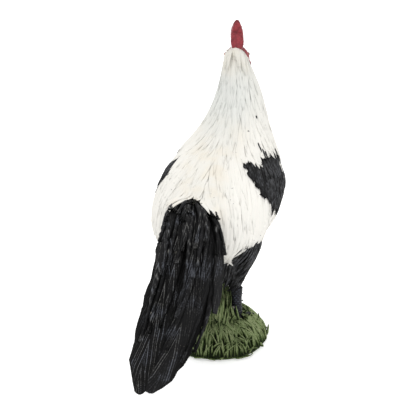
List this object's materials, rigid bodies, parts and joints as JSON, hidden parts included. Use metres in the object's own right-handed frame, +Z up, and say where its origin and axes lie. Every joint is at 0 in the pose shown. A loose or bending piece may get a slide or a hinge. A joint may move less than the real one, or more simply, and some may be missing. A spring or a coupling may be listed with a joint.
{
  "type": "rooster ornament",
  "caption": "Hand-painted cast cockerel standing on a tuft of grass, with a layered white neck cape and saddle and a long drooping black tail.",
  "frame": {"origin": "middle of the grass base's flat underside", "axes": "+Z up, the bird faces -Y with its tail towards +Y, +X towards the bird's left"},
  "size_m": [0.0354, 0.0784, 0.0892],
  "materials": {
    "white_paint": "matt, hand-brushed over sculpted feathers",
    "black_paint": "satin, dry-brushed with blue grey",
    "red_paint": "matt, stippled",
    "grass_green": "matt, washed dark in the grooves",
    "beak_horn": "satin",
    "leg_slate": "satin",
    "eye_amber": "gloss",
    "steel_pin": "bare wire"
  },
  "bodies": {
    "root": {"comb": "red_paint", "grass_base": "grass_green", "head": "red_paint", "left_earlobe": "red_paint", "left_eye": "eye_amber", "left_foot": "leg_slate", "left_leg_pin": "steel_pin", "left_shank": "leg_slate", "left_spur": "leg_slate", "left_thigh": "black_paint", "left_wattle": "red_paint", "left_wing_bow": "black_paint", "left_wing_flight": "white_paint", "lesser_sickle_left_inner": "black_paint", "lesser_sickle_left_outer": "black_paint", "lesser_sickle_right_inner": "black_paint", "lesser_sickle_right_outer": "black_paint", "lower_beak": "beak_horn", "main_sickle_left": "black_paint", "main_sickle_right": "black_paint", "neck_dowel": "steel_pin", "neck_hackle": "white_paint", "right_earlobe": "red_paint", "right_eye": "eye_amber", "right_foot": "leg_slate", "right_leg_pin": "steel_pin", "right_shank": "leg_slate", "right_spur": "leg_slate", "right_thigh": "black_paint", "right_wattle": "red_paint", "right_wing_bow": "black_paint", "right_wing_flight": "white_paint", "root_covert_left": "black_paint", "root_covert_middle": "black_paint", "root_covert_right": "black_paint", "saddle_cape": "white_paint", "tail_core": "black_paint", "tail_covert_left_outer": "black_paint", "tail_covert_middle": "black_paint", "tail_covert_right_inner": "black_paint", "tail_covert_right_outer": "black_paint", "tail_dowel": "steel_pin", "tall_grass_tuft": "grass_green", "torso": "black_paint", "upper_beak": "beak_horn"}
  },
  "joints": []
}
